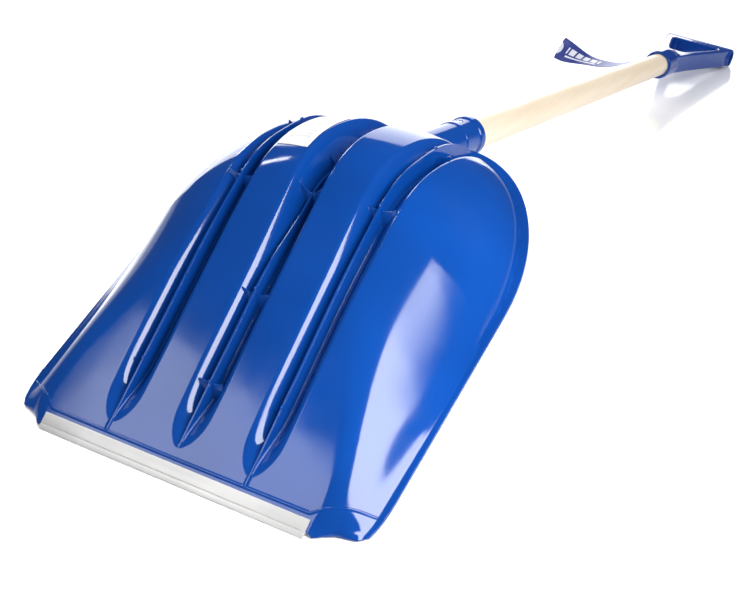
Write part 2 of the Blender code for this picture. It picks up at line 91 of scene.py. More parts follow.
SHAFT_ROOT_RADIUS = 18.9 * MM
SHAFT_TIP_RADIUS = 16.7 * MM
SHAFT_START_Y = 330.0 * MM
TAPER_START_Y = 537.0 * MM
TAPER_END_Y = 1169.0 * MM
SHAFT_END_Y = 1222.0 * MM
FIT_GAP = 0.3 * MM
SOCKET_START_Y = 318.0 * MM
SOCKET_END_Y = 537.0 * MM
SOCKET_RADIUS = 21.4 * MM
SOCKET_RING_RADIUS = 23.3 * MM
SOCKET_BORE_DEPTH = 60.0 * MM
SOCKET_SCREW_Y = 513.0 * MM
GRIP_START_Y = 1169.0 * MM
GRIP_COLLAR_RADIUS = 21.6 * MM
GRIP_SCREW_BACK = 22.0 * MM
GRIP_TWIST = math.radians(6.3)
STRIP_HALF_LENGTH = 145.7 * MM
LABEL_X = (-57.0 * MM, -20.5 * MM)
LABEL_Y = (254.5 * MM, 330.0 * MM)
TAG_Y = 1110.0 * MM
TAG_WIDTH = 37.0 * MM
# The tag's print is measured back from this distance along it, which lies past its free end.
TAG_PRINT_START = 178.0 * MM
GRIP_VOXEL = 0.9 * MM
WELD = 0.002 * MM
# The point in the scoop that the lights are laid out around.
LIGHT_CENTRE = Vector((0.0, -0.45, 0.1))

CAMERA_PLACE = (0.59007, -0.60577 + SHIFT_Y, 0.62307)
CAMERA_YAW = math.radians(-31.99)
CAMERA_PITCH = math.radians(28.58)
CAMERA_ROLL = math.radians(0.03)
CAMERA_LENS = 57.6
CAMERA_SENSOR = 36.0


# ---------------------------------------------------------------- surfaces

def smooth(value, start, end):
    """Smooth step from 0 at start to 1 at end."""
    share = min(1.0, max(0.0, (value - start) / (end - start)))
    return share * share * (3.0 - 2.0 * share)


def piecewise(table, x):
    """Value in metres at x, from straight runs between points given in millimetres."""
    for (x0, y0), (x1, y1) in zip(table, table[1:]):
        if x <= x1 * MM + 1e-9:
            return (y0 + (y1 - y0) * (x / MM - x0) / (x1 - x0)) * MM
    return table[-1][1] * MM


def plate_point(along, above):
    """(y, z) of a point along the sloping front plate and above it."""
    y = RIDGE_Y + along * math.cos(PLATE_ANGLE) - above * math.sin(PLATE_ANGLE)
    z = RIDGE_Z + along * math.sin(PLATE_ANGLE) + above * math.cos(PLATE_ANGLE)
    return y, z


def crest_profile(y):
    """Height of the scoop along its middle: a straight plate, then two arcs over the crest."""
    tangent_y = CREST_Y - FRONT_ARC * math.sin(PLATE_ANGLE)
    if y < tangent_y:
        return RIDGE_Z + (y - RIDGE_Y) * math.tan(PLATE_ANGLE)
    radius = FRONT_ARC if y < CREST_Y else REAR_ARC
    return CREST_Z - radius + math.sqrt(radius ** 2 - (y - CREST_Y) ** 2)


def rim_height(y):
    """Height of the rim, which lies flat in front and rises to the rear."""
    return max(0.0, RIM_SLOPE * (y - RIM_START_Y))


def half_outline(y, inset=0.0):
    """Half the scoop's width at y, with elliptical rear corners."""
    reach = HALF_WIDTH - inset - CORNER_X
    if y <= CORNER_Y:
        return CORNER_X + reach
    share = min(1.0, (y - CORNER_Y) / (REAR_Y - inset - CORNER_Y))
    return CORNER_X + reach * math.sqrt(1.0 - share ** 2)


def rear_edge(x):
    """y of the rear edge at x."""
    across = max(0.0, abs(x) - CORNER_X) / (HALF_WIDTH - CORNER_X)
    return CORNER_Y + (REAR_Y - CORNER_Y) * math.sqrt(max(0.0, 1.0 - across ** 2))


def front_edge(x):
    """y of the front edge at x, with a lobe at each corner."""
    if abs(x) <= PLATE_HALF_WIDTH:
        return plate_point(PLATE_FRONT, 0.0)[0]
    return piecewise(LOBE_EDGE, abs(x))


def ridge_line(x):
    return piecewise(RIDGE_PATH, abs(x))


def flange(y):
    """Width of the flat rim outside the dome."""
    return (5.0 + 4.0 * smooth(y, 120.0 * MM, 330.0 * MM)) * MM


def dome_height(x, y):
    """Height of the panels, without the grooves."""
    blend = smooth(y, BLEND_START_Y, BLEND_END_Y)
    root = SIDE_ROOT_FRONT + (SIDE_ROOT_REAR - SIDE_ROOT_FRONT) * min(1.0, 1.25 * blend)
    flat = PLATE_HALF_WIDTH * (1.0 - blend)
    across = max(0.0, abs(x) - flat) / (half_outline(y, flange(y)) - flat)
    lip = LOBE_LIP * smooth(abs(x), PLATE_HALF_WIDTH, PLATE_HALF_WIDTH + 2.0 * MM)
    base = max(rim_height(y), lip)
    height = max(0.0, crest_profile(y) - base)
    dome = base + height * max(0.0, 1.0 - across ** 2) ** root
    if abs(x) > PLATE_HALF_WIDTH:
        inside = min(1.0, max(0.0, (y - front_edge(x)) / LOBE_ROLL))
        lift = math.sqrt(1.0 - (1.0 - inside) ** 2)
        side = smooth(abs(x), PLATE_HALF_WIDTH, PLATE_HALF_WIDTH + 4.0 * MM)
        dome = dome * (1.0 - side) + (base + (dome - base) * lift) * side
    return dome


def groove_depth(x, y):
    """Depth of the nearest groove at this point."""
    if y <= GROOVE_TIP_Y:
        return 0.0
    opening = min(1.0, (y - GROOVE_TIP_Y) / (GROOVE_FULL_WIDTH_Y - GROOVE_TIP_Y))
    half = GROOVE_HALF_WIDTH * math.sqrt(1.0 - (1.0 - opening) ** 2)
    near = min(GROOVES, key=lambda centre: abs(x - centre))
    away = abs(x - near)
    if away >= half:
        return 0.0
    flat = 0.14
    across = max(0.0, (away / half - flat) / (1.0 - flat))
    shape = 0.5 + 0.5 * math.cos(math.pi * across ** 0.92)
    deep = GROOVE_DEPTH * smooth(y, GROOVE_TIP_Y - 6.0 * MM, GROOVE_FULL_DEPTH_Y)
    if near == 0.0:
        deep += CENTRE_GROOVE_EXTRA * smooth(y, 140.0 * MM, 260.0 * MM)
    room = GROOVE_DEPTH_SHARE * (dome_height(x, y) - rim_height(y))
    return shape * min(deep, room)


def skin_height(x, y):
    return dome_height(x, y) - groove_depth(x, y)


def shaft_height(y):
    """z of the shaft's axis at y."""
    return SHAFT_REF_Z - SHAFT_SLOPE * (y - SHAFT_REF_Y)


def shaft_matrix(y, twist=0.0):
    """Frame on the shaft's axis at y, with +Z along the shaft toward the grip."""
    tilt = Matrix.Rotation(math.atan(SHAFT_SLOPE), 4, (-1.0, 0.0, 0.0))
    turn = Matrix.Rotation(twist, 4, "Y")
    lay = Matrix.Rotation(math.radians(-90.0), 4, "X")
    return Matrix.Translation((0.0, y + SHIFT_Y, shaft_height(y))) @ tilt @ turn @ lay


def side_rib_top(y):
    """How far the top of a side rib stands above the panels."""
    rise = 0.7 - 1.2 * smooth(y, 12.0 * MM, 40.0 * MM)
    rise -= 1.6 * smooth(y, 120.0 * MM, 225.0 * MM)
    rise += 4.6 * smooth(y, 285.0 * MM, 350.0 * MM)
    return rise * MM


def centre_rib_top(y):
    """The same for the centre rib, which drops toward the crest."""
    rise = -0.3 - 20.0 * smooth(y, 138.0 * MM, 235.0 * MM) - 9.5 * smooth(y, 225.0 * MM, 290.0 * MM)
    return rise * MM


# ---------------------------------------------------------------- mesh helpers

def link(name, mesh):
    """New object with this mesh, in the scene."""
    piece = bpy.data.objects.new(name, mesh)
    bpy.context.scene.collection.objects.link(piece)
    return piece


def finish_mesh(work, name, sharp=None):
    """Mesh with smooth shading, and sharp edges above that angle in degrees."""
    bmesh.ops.recalc_face_normals(work, faces=work.faces)
    mesh = bpy.data.meshes.new(name)
    work.to_mesh(mesh)
    work.free()
    mesh.shade_smooth()
    if sharp:
        mesh.set_sharp_from_angle(angle=math.radians(sharp))
    return mesh


def turned(work, profile, place, sides=96):
    """Fills an empty bmesh with a solid of revolution about +Z from (radius, height) points."""
    corners = [work.verts.new((max(radius, 0.0), 0.0, z)) for radius, z in profile]
    edges = [work.edges.new(pair) for pair in zip(corners, corners[1:])]
    bmesh.ops.spin(work, geom=corners + edges, cent=(0, 0, 0), axis=(0, 0, 1),
                   angle=math.tau, steps=sides, use_merge=True, use_duplicate=False)
    bmesh.ops.remove_doubles(work, verts=work.verts, dist=WELD)
    bmesh.ops.transform(work, matrix=place, verts=work.verts)


def sheet_faces(work, rows, flip=False):
    """Quads between neighbouring rows of vertices."""
    faces = []
    for a, b in zip(rows, rows[1:]):
        for i in range(len(a) - 1):
            quad = [a[i], a[i + 1], b[i + 1], b[i]]
            faces.append(work.faces.new(quad[::-1] if flip else quad))
    return faces


def ring_faces(work, rings):
    """Quads between neighbouring closed rings of vertices."""
    for a, b in zip(rings, rings[1:]):
        for i in range(len(a)):
            j = (i + 1) % len(a)
            work.faces.new((a[i], a[j], b[j], b[i]))


def carve(target, tool):
    """Cuts tool out of target, and deletes tool."""
    change = target.modifiers.new("cut", "BOOLEAN")
    change.operation = "DIFFERENCE"
    change.object = tool
    apply_modifiers(target)
    bpy.data.objects.remove(tool, do_unlink=True)


def apply_modifiers(piece):
    bpy.context.view_layer.update()
    graph = bpy.context.evaluated_depsgraph_get()
    mesh = bpy.data.meshes.new_from_object(piece.evaluated_get(graph))
    piece.modifiers.clear()
    piece.data = mesh


def rounded(points, radius, segments=4):
    """Rounds the corners of a closed or open list of 2-D points by short arcs."""
    out = []
    last = len(points) - 1
    for i, corner in enumerate(points):
        if i in (0, last):
            out.append(tuple(corner))
            continue
        here = Vector(corner)
        to_a = Vector(points[i - 1]) - here
        to_b = Vector(points[i + 1]) - here
        size = min(radius, to_a.length * 0.45, to_b.length * 0.45)
        a = here + to_a.normalized() * size
        b = here + to_b.normalized() * size
        for k in range(segments + 1):
            t = k / segments
            p = a * (1 - t) ** 2 + here * 2 * t * (1 - t) + b * t ** 2
            out.append((p.x, p.y))
    return out


# ---------------------------------------------------------------- scoop

def column_plan():
    """Columns across the scoop: (x, kind, drop). kind says how a rib shapes that column."""
    plan = []
    rib_marks = ((0.0, "top", 0.0), (0.85, "top", 0.0), (1.05, "top", 0.08), (1.17, "top", 0.3),
                 (1.2, "top", 0.7), (1.36, "foot", 1.3), (1.5, "foot", 0.75), (1.85, "foot", 0.3),
                 (2.5, "foot", 0.05))
    for centre in GROOVES:
        for side in (-1, 1):
            for offset, kind, drop in rib_marks:
                if offset or side > 0:
                    plan.append((centre + side * offset * MM, kind, drop * MM))
            for offset in [3.2] + [4.0 + i for i in range(15)] + [18.8, 19.5, 20.3]:
                plan.append((centre + side * offset * MM, "skin", 0.0))
    panel = [23.5, 28.0, 33.0, 38.5, 44.0, 49.0, 53.5]
    outer = [100.5 + 3.0 * i for i in range(14)]
    outer += [142.2, 144.5, 146.5, 147.6, 148.5, 149.3, 150.1, 151.0, 152.0, 153.5, 155.0, 157.0]
    outer += [159.0 + 2.0 * i for i in range(13)]
    outer += [185.0, 186.5, 188.0, 189.5, 190.7, 191.6, 192.4, 193.2, 194.0, 194.8, 195.4, 196.0]
    for x in panel + outer:
        plan += [(x * MM, "skin", 0.0), (-x * MM, "skin", 0.0)]
    return sorted(plan)


def row_plan():
    """Rows along the scoop: ("front", share), ("ridge", offset) or ("body", share)."""
    rows = [("front", s) for s in (0.0, 0.02, 0.06, 0.12, 0.2, 0.3, 0.42, 0.56, 0.7, 0.85)]
    rows += [("ridge", o * MM) for o in (-1.6, -1.1, -0.8, -0.5, -0.25, 0.0, 0.25, 0.5, 0.8, 1.1, 1.6)]
    shares = []
    value = 0.0
    while value < 1.0:
        shares.append(value)
        near_tip = 0.0032 + 0.0052 * smooth(value, 0.06, 0.2)
        value += near_tip - 0.0062 * smooth(value, 0.88, 0.99)
    return rows + [("body", s) for s in shares[1:]] + [("body", 1.0)]


def row_place(row, x):
    """y of a row at this x."""
    kind, value = row
    first = front_edge(x)
    ridge = max(ridge_line(x), first + 3.0 * MM)
    if kind == "front":
        return first + (ridge - 1.9 * MM - first) * value
    if kind == "ridge":
        return ridge + value
    start = ridge + 1.7 * MM
    return start + (max(rear_edge(x), start + 2.0 * MM) - start) * value


def top_height(x, y, kind, drop, ridge_off):
    """Outer surface with the ribs and the ridge line on it."""
    floor = skin_height(x, y)
    z = floor
    if kind != "skin":
        centre = min(GROOVES, key=lambda c: abs(x - c))
        top = dome_height(centre, y) + (centre_rib_top(y) if centre == 0.0 else side_rib_top(y))
        end = rear_edge(centre) - RIB_END_BACK
        if y < RIDGE_Y + 0.4 * MM or y > end:
            return floor + ridge_bump(ridge_off)
        fade = smooth(y, RIDGE_Y, RIDGE_Y + 1.5 * MM) * (1.0 - smooth(y, end - 6.0 * MM, end))
        tall = max(0.0, top - floor) * fade
        if kind == "top":
            z = floor + max(0.0, tall - drop)
        else:
            z = floor + min(drop, tall * 0.8)
    return z + ridge_bump(ridge_off)


def ridge_bump(offset):
    """Extra height of the step ridge at this offset from its line."""
    if offset is None:
        return 0.0
    return RIDGE_HEIGHT * max(0.0, 1.0 - (offset / RIDGE_HALF_WIDTH) ** 2) ** 0.8


def skin_normal(x, y):
    """Normal of the skin, with its slope held below a limit."""
    step = 0.6 * MM
    steepest = 3.0
    rise_x = (skin_height(x + step, y) - skin_height(x - step, y)) / (2 * step)
    rise_y = (skin_height(x, y + step) - skin_height(x, y - step)) / (2 * step)
    rise_x = max(-steepest, min(steepest, rise_x))
    rise_y = max(-steepest, min(steepest, rise_y))
    return Vector((-rise_x, -rise_y, 1.0)).normalized()


def build_scoop():
    """Shell of the scoop: outer skin with ribs, inner skin, and the wall between their borders."""
    columns = column_plan()
    rows = row_plan()
    work = bmesh.new()
    outer = []
    inner = []
    for row in rows:
        ridge_off = row[1] if row[0] == "ridge" else None
        line_out = []
        line_in = []
        for x, kind, drop in columns:
            y = row_place(row, x)
            z = top_height(x, y, kind, drop, ridge_off)
            line_out.append(work.verts.new((x, y + SHIFT_Y, z)))
            normal = skin_normal(x, y)
            deep = Vector((x, y, skin_height(x, y))) - normal * WALL
            deep.z = max(deep.z, 0.25 * MM)
            line_in.append(work.verts.new((deep.x, deep.y + SHIFT_Y, deep.z)))
        outer.append(line_out)
        inner.append(line_in)
    sheet_faces(work, outer)
    sheet_faces(work, inner, True)
    last_r = len(rows) - 1
    last_c = len(columns) - 1
    border = [(0, c) for c in range(last_c)] + [(r, last_c) for r in range(last_r)]
    border += [(last_r, c) for c in range(last_c, 0, -1)] + [(r, 0) for r in range(last_r, 0, -1)]
    for (r0, c0), (r1, c1) in zip(border, border[1:] + border[:1]):
        work.faces.new((outer[r1][c1], outer[r0][c0], inner[r0][c0], inner[r1][c1]))
    mesh = bpy.data.meshes.new("scoop")
    work.to_mesh(mesh)
    work.free()
    mesh.shade_smooth()
    mesh.set_sharp_from_angle(angle=math.radians(62))
    return link("scoop", mesh)


def web_shape(centre, y, ends, middle, reach):
    """Cross web in a groove: polygon in (x, z) with a U-shaped top."""
    top = []
    for i in range(15):
        t = -1.0 + 2.0 * i / 14
        x = centre + t * reach
        z = middle + (ends - middle) * abs(t) ** 1.8
        top.append((x, z))
    foot = [(x, min(skin_height(x, y) - 1.5 * MM, z - 0.8 * MM)) for x, z in top]
    return top + foot[::-1]


def add_web(work, outline, y):
    """Thin plate with slightly rounded top edges, square to the scoop's length."""
    count = len(outline) // 2
    layers = ((-1.0, 0.35), (-0.62, 0.0), (0.62, 0.0), (1.0, 0.35))
    rings = []
    for share, lower in layers:
        ring = []
        for i, (x, z) in enumerate(outline):
            down = lower * MM if i < count else 0.0
            ring.append(work.verts.new((x, y + SHIFT_Y + share * WEB_THICKNESS, z - down)))
        rings.append(ring)
    ring_faces(work, rings)
    for ring in (rings[0], rings[-1]):
        for i in range(count - 1):
            j = len(outline) - 1 - i
            work.faces.new((ring[i], ring[i + 1], ring[j - 1], ring[j]))


def add_nub(work, x, y, above, size):
    """Small moulding nub, centred a little above the panel line."""
    centre = (x, y + SHIFT_Y, dome_height(x, y) + above)
    place = Matrix.Translation(centre) @ Matrix.Diagonal((*size, 1.0))
    bmesh.ops.create_icosphere(work, subdivisions=3, radius=1.0, matrix=place)


def build_webs():
    """Cross webs of the three grooves and the nubs on their ribs."""
    work = bmesh.new()
    # y, depth of the middle below the panel, half width, in millimetres
    centre_webs = ((69.0, 3.0, 13.0), (138.0, 6.0, 15.0), (229.0, 18.5, 18.0),
                   (275.0, 27.0, 18.5), (312.0, 28.0, 18.5), (352.0, 24.0, 18.0))
    for y_mm, sink, reach in centre_webs:
        y = y_mm * MM
        panel = dome_height(0.0, y)
        add_web(work, web_shape(0.0, y, panel - 2.4 * MM, panel - sink * MM, reach * MM), y)
    side_webs = ((225.0 * MM, 6.5 * MM), (324.0 * MM, 8.0 * MM))
    for centre in (GROOVES[0], GROOVES[2]):
        for y, sink in side_webs:
            panel = dome_height(centre, y)
            add_web(work, web_shape(centre, y, panel - 3.0 * MM, panel - sink, 16.0 * MM), y)
    small = (1.5 * MM, 2.2 * MM, 1.5 * MM)
    for x in GROOVES:
        add_nub(work, x, 67.6 * MM, 0.2 * MM, small)
    add_nub(work, 0.0, 137.8 * MM, 0.4 * MM, small)
    for x in (GROOVES[0], GROOVES[2]):
        for y, _ in side_webs:
            add_nub(work, x, y, side_rib_top(y) + 0.3 * MM, (1.6 * MM, 2.2 * MM, 1.5 * MM))
    return link("scoop_webs", finish_mesh(work, "scoop_webs", 45))


def build_socket():
    """Round socket with two raised rings, a bore at its open end and the recess of its screw."""
    length = (SOCKET_END_Y - SOCKET_START_Y) * math.hypot(1.0, SHAFT_SLOPE)
    bore = SHAFT_ROOT_RADIUS + FIT_GAP
    wall = SOCKET_RADIUS
    ring = SOCKET_RING_RADIUS
    back = length - 41.0 * MM
    outline = [(0.0, 4.0 * MM), (wall - 4.0 * MM, 4.0 * MM), (wall - 0.4 * MM, 8.0 * MM),
               (wall - 0.2 * MM, back - 1.2 * MM), (ring - 0.7 * MM, back),
               (ring - 0.7 * MM, back + 3.2 * MM), (wall, back + 4.4 * MM),
               (wall, length - 10.5 * MM), (ring, length - 9.3 * MM),
               (ring, length), (bore + 0.2 * MM, length), (bore, length - 0.6 * MM),
               (bore, length - SOCKET_BORE_DEPTH), (0.0, length - SOCKET_BORE_DEPTH)]
    work = bmesh.new()
    turned(work, rounded(outline, 1.3 * MM, 5), shaft_matrix(SOCKET_START_Y), 112)
    socket = link("scoop_socket", finish_mesh(work, "scoop_socket", 50))
    cut = bmesh.new()
    top = Matrix.Rotation(math.radians(90.0), 4, "X")
    recess = [(0.0, SOCKET_RADIUS - 1.9 * MM), (3.6 * MM, SOCKET_RADIUS - 1.9 * MM),
              (4.1 * MM, SOCKET_RADIUS - 1.4 * MM), (5.0 * MM, SOCKET_RADIUS + 1.0 * MM),
              (5.0 * MM, SOCKET_RADIUS + 6.0 * MM), (0.0, SOCKET_RADIUS + 6.0 * MM)]
    turned(cut, recess, shaft_matrix(SOCKET_SCREW_Y) @ top, 40)
    cutter = link("cut_tool", finish_mesh(cut, "cut_tool"))
    carve(socket, cutter)
    socket.data.shade_smooth()
    socket.data.set_sharp_from_angle(angle=math.radians(38))
    return socket


# ---------------------------------------------------------------- other pieces

def build_strip():
    """Extruded strip with rounded edges and a shallow fold line."""
    gap = FIT_GAP
    under = -2.6 * MM - gap
    outline = [plate_point(-4.2 * MM, 1.25 * MM), plate_point(-4.6 * MM, 1.6 * MM),
               plate_point(-14.5 * MM, 1.45 * MM), plate_point(-14.75 * MM, 0.75 * MM),
               plate_point(-15.3 * MM, 0.75 * MM), plate_point(-15.6 * MM, 1.25 * MM),
               (-4.0 * MM, 0.9 * MM), (-3.4 * MM, 0.0),
               (2.5 * MM, 0.0), plate_point(-6.0 * MM, -4.1 * MM), plate_point(-6.0 * MM, under),
               plate_point(PLATE_FRONT - gap, under), plate_point(PLATE_FRONT - gap, gap),
               plate_point(-4.2 * MM, gap)]
    loop = rounded(outline + [outline[0]], 0.22 * MM, 3)[:-1]
    work = bmesh.new()
    rings = []
    for share in (-1.0, -0.9985, -0.5, 0.0, 0.5, 0.9985, 1.0):
        squeeze = 0.12 * MM if abs(share) == 1.0 else 0.0
        middle = Vector((sum(p[0] for p in loop) / len(loop), sum(p[1] for p in loop) / len(loop)))
        ring = []
        for y, z in loop:
            here = Vector((y, z))
            here += (middle - here).normalized() * squeeze
            ring.append(work.verts.new((share * STRIP_HALF_LENGTH, here.x + SHIFT_Y, max(here.y, 0.0))))
        rings.append(ring)
    ring_faces(work, rings)
    work.faces.new(rings[0][::-1])
    work.faces.new(rings[-1])
    return link("edge_strip", finish_mesh(work, "edge_strip", 28))


def build_shaft():
    """Tapered rod with eased ends and the slight waviness of sanded wood."""
    stretch = math.hypot(1.0, SHAFT_SLOPE)
    start = (TAPER_START_Y - SHAFT_START_Y) * stretch
    end = (SHAFT_END_Y - SHAFT_START_Y) * stretch
    taper_end = (TAPER_END_Y - SHAFT_START_Y) * stretch
    ease = 1.5 * MM
    profile = [(0.0, 0.0), (SHAFT_ROOT_RADIUS - ease, 0.0), (SHAFT_ROOT_RADIUS, ease)]
    profile += [(SHAFT_ROOT_RADIUS, start)]
    for i in range(1, 24):
        t = i / 24
        wave = 0.12 * MM * math.sin(9.0 * t) * math.sin(23.0 * t + 0.6)
        profile.append((SHAFT_ROOT_RADIUS + (SHAFT_TIP_RADIUS - SHAFT_ROOT_RADIUS) * t + wave,
                        start + (taper_end - start) * t))
    profile += [(SHAFT_TIP_RADIUS, taper_end), (SHAFT_TIP_RADIUS, end - ease),
                (SHAFT_TIP_RADIUS - ease, end), (0.0, end)]
    work = bmesh.new()
    turned(work, profile, shaft_matrix(SHAFT_START_Y), 96)
    return link("wood_shaft", finish_mesh(work, "wood_shaft", 30))


def build_grip():
    """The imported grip's own form with moulded, rounded edges."""
    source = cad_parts["grip"]
    piece = link("moulded_grip", source.data.copy())
    piece.data.materials.clear()
    voxel = piece.modifiers.new("voxels", "REMESH")
    voxel.mode = "VOXEL"
    voxel.voxel_size = GRIP_VOXEL
    voxel.use_smooth_shade = True
    soften = piece.modifiers.new("soften", "SMOOTH")
    soften.factor = 0.5
    soften.iterations = 14
    apply_modifiers(piece)
    piece.data.shade_smooth()
    return piece


def build_screw(name, place, surface):
    """Countersunk screw with a cross recess."""
    top = surface - 0.35 * MM
    head = 3.6 * MM
    profile = [(0.0, top - 15.0 * MM), (1.2 * MM, top - 13.0 * MM), (1.7 * MM, top - 11.0 * MM),
               (1.7 * MM, top - 2.0 * MM), (head - 0.3 * MM, top - 1.0 * MM), (head, top - 0.6 * MM),
               (head - 0.35 * MM, top - 0.15 * MM), (head - 1.6 * MM, top), (0.0, top + 0.05 * MM)]
    work = bmesh.new()
    turned(work, profile, place, 48)
    screw = link(name, finish_mesh(work, name, 40))
    slot_size = Matrix.Diagonal((4.2 * MM, 0.8 * MM, 1.8 * MM, 1.0))
    for angle in (20.0, 110.0):
        slit = bmesh.new()
        spot = place @ Matrix.Rotation(math.radians(angle), 4, "Z") @ Matrix.Translation((0, 0, top))
        bmesh.ops.create_cube(slit, size=1.0, matrix=spot @ slot_size)
        carve(screw, link("cut_tool", finish_mesh(slit, "cut_tool")))
    screw.data.shade_smooth()
    screw.data.set_sharp_from_angle(angle=math.radians(35))
    return screw


def build_label():
    """Sticker that follows the panel, with one lifted corner."""
    work = bmesh.new()
    wide, long = 12, 40
    grid = []
    for r in range(long + 1):
        line = []
        for c in range(wide + 1):
            u = c / wide
            v = r / long
            x = LABEL_X[0] + u * (LABEL_X[1] - LABEL_X[0])
            y = LABEL_Y[0] + v * (LABEL_Y[1] - LABEL_Y[0]) - 2.0 * MM * u
            curl = 0.5 * MM * smooth(u, 0.82, 1.0) * (1.0 - smooth(v, 0.0, 0.12))
            line.append(work.verts.new((x, y + SHIFT_Y, dome_height(x, y) + 0.35 * MM + curl)))
        grid.append(line)
    sheet_faces(work, grid)
    label = link("bar_sticker", finish_mesh(work, "bar_sticker"))
    sheet = label.modifiers.new("paper", "SOLIDIFY")
    sheet.thickness = 0.18 * MM
    sheet.offset = 1.0
    return label


# Free end of the tag in section, from the shaft outward: (x, z) in millimetres and twist in degrees.
TAG_PATH = ((-22.0, 66.0, 0.0), (-36.0, 61.0, 2.0), (-52.0, 57.0, 5.0), (-70.0, 56.0, 8.0),
            (-88.0, 57.0, 12.0), (-101.0, 58.5, 20.0), (-114.0, 61.5, 34.0), (-127.0, 65.5, 52.0),
            (-140.0, 70.5, 70.0))


def catmull(points, per_span):
    """Smooth curve through the points, with per_span steps between neighbours."""
    out = []
    count = len(points)
    for i in range(count - 1):
        p0 = points[max(i - 1, 0)]
        p1, p2 = points[i], points[i + 1]
        p3 = points[min(i + 2, count - 1)]
        for k in range(per_span):
            t = k / per_span
            out.append(tuple(0.5 * (2 * b + (c - a) * t + (2 * a - 5 * b + 4 * c - d) * t * t
                                    + (3 * b - a - 3 * c + d) * t ** 3)
                             for a, b, c, d in zip(p0, p1, p2, p3)))
    out.append(points[-1])
    return out


def build_tag():
    """Printed paper strip: stuck on the shaft at one end, curling up at its free end."""
    radius = (SHAFT_TIP_RADIUS + 1.2 * MM) / MM
    centre = shaft_height(TAG_Y) / MM
    lines = []
    for i in range(9):
        angle = math.radians(235.0 - 70.0 * i / 8)
        lines.append((radius * math.cos(angle), centre + radius * math.sin(angle), 0.0))
    lines += list(TAG_PATH)
    path = catmull(lines, 6)
    wide = 10
    lengths = [0.0]
    for a, b in zip(path, path[1:]):
        lengths.append(lengths[-1] + math.hypot(b[0] - a[0], b[1] - a[1]))
    work = bmesh.new()
    uv = work.loops.layers.uv.new("UVMap")
    grid = []
    spots = {}
    for (x, z, stand), along in zip(path, lengths):
        stand = math.radians(stand)
        line = []
        for c in range(wide + 1):
            share = c / wide - 0.5
            across = share * TAG_WIDTH
            bow = 1.2 * MM * (1.0 - (2.0 * share) ** 2) * smooth(along, 90.0, 150.0)
            y = TAG_Y + across * math.cos(stand)
            lean = across * math.sin(stand)
            fall = -SHAFT_SLOPE * across * math.cos(stand)
            place = (x * MM + 0.35 * lean - bow, y + SHIFT_Y, z * MM + 0.94 * lean + fall)
            spot = work.verts.new(place)
            spots[spot] = (along * MM, across)
            line.append(spot)
        grid.append(line)
    for face in sheet_faces(work, grid):
        for loop in face.loops:
            loop[uv].uv = spots[loop.vert]
    tag = link("paper_tag", finish_mesh(work, "paper_tag"))
    sheet = tag.modifiers.new("paper", "SOLIDIFY")
    sheet.thickness = 0.22 * MM
    sheet.offset = 0.0
    return tag


# ---------------------------------------------------------------- materials

class Nodes:
    """Short way to write a node tree."""

    def __init__(self, name):
        self.material = bpy.data.materials.new(name)
        self.material.use_nodes = True
        self.tree = self.material.node_tree
        self.shader = self.tree.nodes["Principled BSDF"]

    def add(self, kind, **values):
        node = self.tree.nodes.new("ShaderNode" + kind)
        for key, value in values.items():
            setattr(node, key, value)
        return node

    def put(self, node, **values):
        for key, value in values.items():
            socket = node.inputs[key.replace("_", " ")]
            if isinstance(value, bpy.types.NodeSocket):
                self.tree.links.new(value, socket)
            else:
                socket.default_value = value
        return node

    def place(self, stretch=(1.0, 1.0, 1.0), uv=False):
        source = self.add("TexCoord")
        mapping = self.add("Mapping")
        self.tree.links.new(source.outputs["UV" if uv else "Object"], mapping.inputs["Vector"])
        mapping.inputs["Scale"].default_value = stretch
        return mapping.outputs["Vector"]

    def noise(self, vector, scale, detail=3.0, rough=0.55):
        node = self.add("TexNoise")
        self.put(node, Vector=vector, Scale=scale, Detail=detail, Roughness=rough)
        return node.outputs["Fac"]

    def math(self, operation, a, b=0.0):
        node = self.add("Math", operation=operation)
        for index, value in enumerate((a, b)):
            if isinstance(value, bpy.types.NodeSocket):
                self.tree.links.new(value, node.inputs[index])
            else:
                node.inputs[index].default_value = value
        return node.outputs[0]

    def span(self, value, low, high, out_low=0.0, out_high=1.0):
        node = self.add("MapRange", clamp=True)
        self.put(node, Value=value)
        for key, number in zip(("From Min", "From Max", "To Min", "To Max"), (low, high, out_low, out_high)):
            node.inputs[key].default_value = number
        return node.outputs["Result"]

    def mix(self, share, a, b):
        node = self.add("Mix", data_type="RGBA")
        for index, value in ((0, share), (6, a), (7, b)):
            if isinstance(value, bpy.types.NodeSocket):
                self.tree.links.new(value, node.inputs[index])
            elif index:
                node.inputs[index].default_value = (*value, 1.0)
            else:
                node.inputs[index].default_value = value
        return node.outputs[2]

    def bump(self, height, distance, strength=1.0):
        node = self.add("Bump")
        self.put(node, Height=height, Distance=distance, Strength=strength)
        self.tree.links.new(node.outputs["Normal"], self.shader.inputs["Normal"])

    def surface(self, **values):
        self.put(self.shader, **values)


